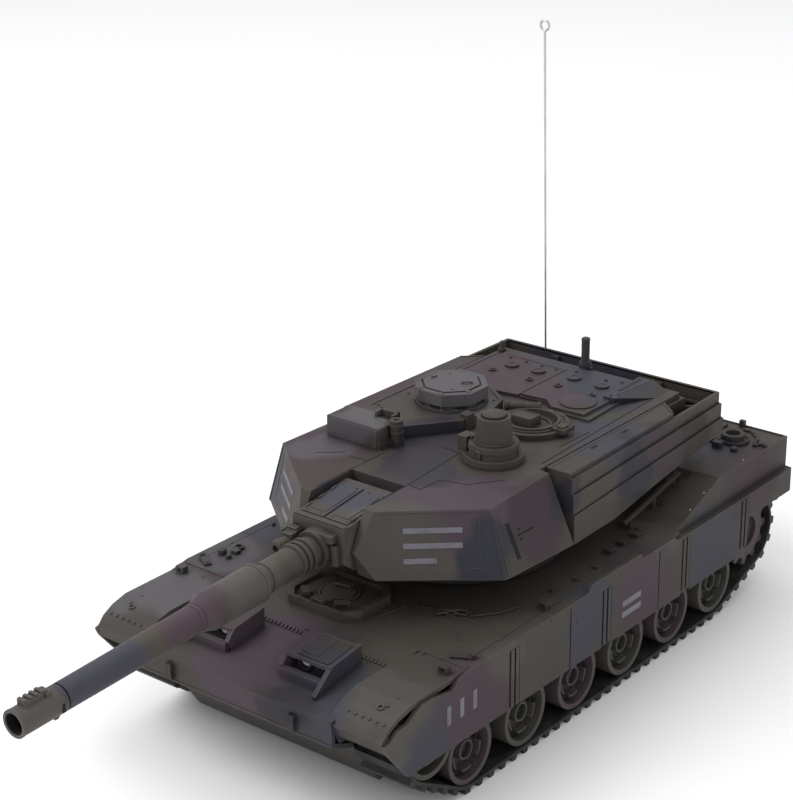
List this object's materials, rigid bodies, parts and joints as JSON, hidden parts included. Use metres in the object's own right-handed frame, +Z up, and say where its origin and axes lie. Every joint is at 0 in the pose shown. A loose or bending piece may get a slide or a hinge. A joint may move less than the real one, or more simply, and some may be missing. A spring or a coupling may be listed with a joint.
{
  "type": "rc tank",
  "caption": "Radio-controlled toy battle tank at about 1:24: tracked hull with geared drive, hand-turned turret, lifting gun, roof sights and whip antenna.",
  "frame": {"origin": "on the floor under the middle of the whole model, antenna and gun included", "axes": "-Y towards the muzzle, +X towards the tank's own left side, +Z up"},
  "size_m": [0.15, 0.4, 0.2497],
  "materials": {
    "hull_olive": "matt dark olive grey with soft sprayed patches",
    "hull_plum": "matt dark plum brown with soft sprayed patches",
    "dark_moulding": "matt dark grey moulding",
    "lamp_white": "white lens, glossy",
    "track_rubber": "matt black rubber belt",
    "wheel_plastic": "matt, olive and plum in turn",
    "steel": "plain steel",
    "spring_wire": "bright spring wire",
    "cell_can": "plain sleeve, satin",
    "motor_can": "plated can",
    "board": "green board with black and metal parts",
    "gear_plastic": "natural white acetal"
  },
  "bodies": {
    "hull": {"lower_hull": "dark_moulding", "upper_hull": "hull_olive", "skirt_l": "hull_plum", "skirt_r": "hull_plum", "headlamp_guards": "dark_moulding", "headlamp_lenses": "lamp_white", "driver_hatch": "hull_olive", "filler_cap": "dark_moulding", "engine_grilles": "dark_moulding", "deck_fittings": "dark_moulding", "rear_plate": "dark_moulding", "track_l": "track_rubber", "track_r": "track_rubber", "wheel_axles": "steel", "battery_cover": "dark_moulding", "batteries": "cell_can", "battery_contacts": "steel", "circuit_board": "board", "motor_l": "motor_can", "motor_r": "motor_can", "gearbox_l": "gear_plastic", "gearbox_r": "gear_plastic", "antenna_socket": "dark_moulding", "antenna_wire": "spring_wire", "hull_screws": "steel"},
    "switch": {"power_switch": "dark_moulding"},
    "turret": {"turret_shell": "hull_olive", "turret_base": "dark_moulding", "turret_rack": "hull_plum", "roof_panels": "hull_plum", "cupola": "hull_olive", "thermal_sight": "hull_olive", "loader_hatch": "hull_plum", "gunner_sight": "hull_olive", "roof_posts": "dark_moulding", "turret_screws": "steel"},
    "gun": {"mantlet": "hull_olive", "gun_barrel": "hull_olive"},
    "drive_l": {"sprocket_l": "wheel_plastic", "drive_axle_l": "steel"},
    "reduction_l": {"reduction_gear_l": "gear_plastic"},
    "pinion_l": {"motor_pinion_l": "steel"},
    "idler_wheel_l": {"idler_l": "wheel_plastic"},
    "road_wheel_l1": {"wheel_l1": "wheel_plastic"},
    "road_wheel_l2": {"wheel_l2": "wheel_plastic"},
    "road_wheel_l3": {"wheel_l3": "wheel_plastic"},
    "road_wheel_l4": {"wheel_l4": "wheel_plastic"},
    "road_wheel_l5": {"wheel_l5": "wheel_plastic"},
    "road_wheel_l6": {"wheel_l6": "wheel_plastic"},
    "drive_r": {"sprocket_r": "wheel_plastic", "drive_axle_r": "steel"},
    "reduction_r": {"reduction_gear_r": "gear_plastic"},
    "pinion_r": {"motor_pinion_r": "steel"},
    "idler_wheel_r": {"idler_r": "wheel_plastic"},
    "road_wheel_r1": {"wheel_r1": "wheel_plastic"},
    "road_wheel_r2": {"wheel_r2": "wheel_plastic"},
    "road_wheel_r3": {"wheel_r3": "wheel_plastic"},
    "road_wheel_r4": {"wheel_r4": "wheel_plastic"},
    "road_wheel_r5": {"wheel_r5": "wheel_plastic"},
    "road_wheel_r6": {"wheel_r6": "wheel_plastic"}
  },
  "joints": [
    {"name": "turret_turn", "type": "hinge", "parent": "hull", "child": "turret", "pos_m": [0, 0.044, 0.0731], "axis": [0, 0, 1], "range_deg": [-150, 150]},
    {"name": "gun_lift", "type": "hinge", "parent": "turret", "child": "gun", "pos_m": [0, -0.015, 0.08537], "axis": [-1, 0, 0], "range_deg": [0, 15]},
    {"name": "switch_slide", "type": "slide", "parent": "hull", "child": "switch", "axis": [0, 1, 0], "range_m": [0, 0.003]},
    {"name": "drive_l_spin", "type": "hinge", "parent": "hull", "child": "drive_l", "pos_m": [0.06, 0.1705, 0.0305], "axis": [1, 0, 0], "continuous": true},
    {"name": "reduction_l_spin", "type": "hinge", "parent": "hull", "child": "reduction_l", "pos_m": [0.06, 0.1545, 0.0305], "axis": [1, 0, 0], "continuous": true},
    {"name": "pinion_l_spin", "type": "hinge", "parent": "hull", "child": "pinion_l", "pos_m": [0.06, 0.1393, 0.0305], "axis": [1, 0, 0], "continuous": true},
    {"name": "idler_l_spin", "type": "hinge", "parent": "hull", "child": "idler_wheel_l", "pos_m": [0.06, -0.0645, 0.0313], "axis": [1, 0, 0], "continuous": true},
    {"name": "wheel_l1_spin", "type": "hinge", "parent": "hull", "child": "road_wheel_l1", "pos_m": [0.06, -0.0406, 0.0174], "axis": [1, 0, 0], "continuous": true},
    {"name": "wheel_l2_spin", "type": "hinge", "parent": "hull", "child": "road_wheel_l2", "pos_m": [0.06, -0.0046, 0.0174], "axis": [1, 0, 0], "continuous": true},
    {"name": "wheel_l3_spin", "type": "hinge", "parent": "hull", "child": "road_wheel_l3", "pos_m": [0.06, 0.0314, 0.0174], "axis": [1, 0, 0], "continuous": true},
    {"name": "wheel_l4_spin", "type": "hinge", "parent": "hull", "child": "road_wheel_l4", "pos_m": [0.06, 0.0674, 0.0174], "axis": [1, 0, 0], "continuous": true},
    {"name": "wheel_l5_spin", "type": "hinge", "parent": "hull", "child": "road_wheel_l5", "pos_m": [0.06, 0.1034, 0.0174], "axis": [1, 0, 0], "continuous": true},
    {"name": "wheel_l6_spin", "type": "hinge", "parent": "hull", "child": "road_wheel_l6", "pos_m": [0.06, 0.1394, 0.0174], "axis": [1, 0, 0], "continuous": true},
    {"name": "drive_r_spin", "type": "hinge", "parent": "hull", "child": "drive_r", "pos_m": [-0.06, 0.1705, 0.0305], "axis": [1, 0, 0], "continuous": true},
    {"name": "reduction_r_spin", "type": "hinge", "parent": "hull", "child": "reduction_r", "pos_m": [-0.06, 0.1545, 0.0305], "axis": [1, 0, 0], "continuous": true},
    {"name": "pinion_r_spin", "type": "hinge", "parent": "hull", "child": "pinion_r", "pos_m": [-0.06, 0.1393, 0.0305], "axis": [1, 0, 0], "continuous": true},
    {"name": "idler_r_spin", "type": "hinge", "parent": "hull", "child": "idler_wheel_r", "pos_m": [-0.06, -0.0645, 0.0313], "axis": [1, 0, 0], "continuous": true},
    {"name": "wheel_r1_spin", "type": "hinge", "parent": "hull", "child": "road_wheel_r1", "pos_m": [-0.06, -0.0406, 0.0174], "axis": [1, 0, 0], "continuous": true},
    {"name": "wheel_r2_spin", "type": "hinge", "parent": "hull", "child": "road_wheel_r2", "pos_m": [-0.06, -0.0046, 0.0174], "axis": [1, 0, 0], "continuous": true},
    {"name": "wheel_r3_spin", "type": "hinge", "parent": "hull", "child": "road_wheel_r3", "pos_m": [-0.06, 0.0314, 0.0174], "axis": [1, 0, 0], "continuous": true},
    {"name": "wheel_r4_spin", "type": "hinge", "parent": "hull", "child": "road_wheel_r4", "pos_m": [-0.06, 0.0674, 0.0174], "axis": [1, 0, 0], "continuous": true},
    {"name": "wheel_r5_spin", "type": "hinge", "parent": "hull", "child": "road_wheel_r5", "pos_m": [-0.06, 0.1034, 0.0174], "axis": [1, 0, 0], "continuous": true},
    {"name": "wheel_r6_spin", "type": "hinge", "parent": "hull", "child": "road_wheel_r6", "pos_m": [-0.06, 0.1394, 0.0174], "axis": [1, 0, 0], "continuous": true}
  ],
  "couplings": [
    {"joint": "reduction_l_spin", "follows": "drive_l_spin", "ratio": -3},
    {"joint": "pinion_l_spin", "follows": "drive_l_spin", "ratio": 8.4},
    {"joint": "idler_l_spin", "follows": "drive_l_spin", "ratio": 1.1655},
    {"joint": "wheel_l1_spin", "follows": "drive_l_spin", "ratio": 1.1655},
    {"joint": "wheel_l2_spin", "follows": "drive_l_spin", "ratio": 1.1655},
    {"joint": "wheel_l3_spin", "follows": "drive_l_spin", "ratio": 1.1655},
    {"joint": "wheel_l4_spin", "follows": "drive_l_spin", "ratio": 1.1655},
    {"joint": "wheel_l5_spin", "follows": "drive_l_spin", "ratio": 1.1655},
    {"joint": "wheel_l6_spin", "follows": "drive_l_spin", "ratio": 1.1655},
    {"joint": "reduction_r_spin", "follows": "drive_r_spin", "ratio": -3},
    {"joint": "pinion_r_spin", "follows": "drive_r_spin", "ratio": 8.4},
    {"joint": "idler_r_spin", "follows": "drive_r_spin", "ratio": 1.1655},
    {"joint": "wheel_r1_spin", "follows": "drive_r_spin", "ratio": 1.1655},
    {"joint": "wheel_r2_spin", "follows": "drive_r_spin", "ratio": 1.1655},
    {"joint": "wheel_r3_spin", "follows": "drive_r_spin", "ratio": 1.1655},
    {"joint": "wheel_r4_spin", "follows": "drive_r_spin", "ratio": 1.1655},
    {"joint": "wheel_r5_spin", "follows": "drive_r_spin", "ratio": 1.1655},
    {"joint": "wheel_r6_spin", "follows": "drive_r_spin", "ratio": 1.1655}
  ]
}
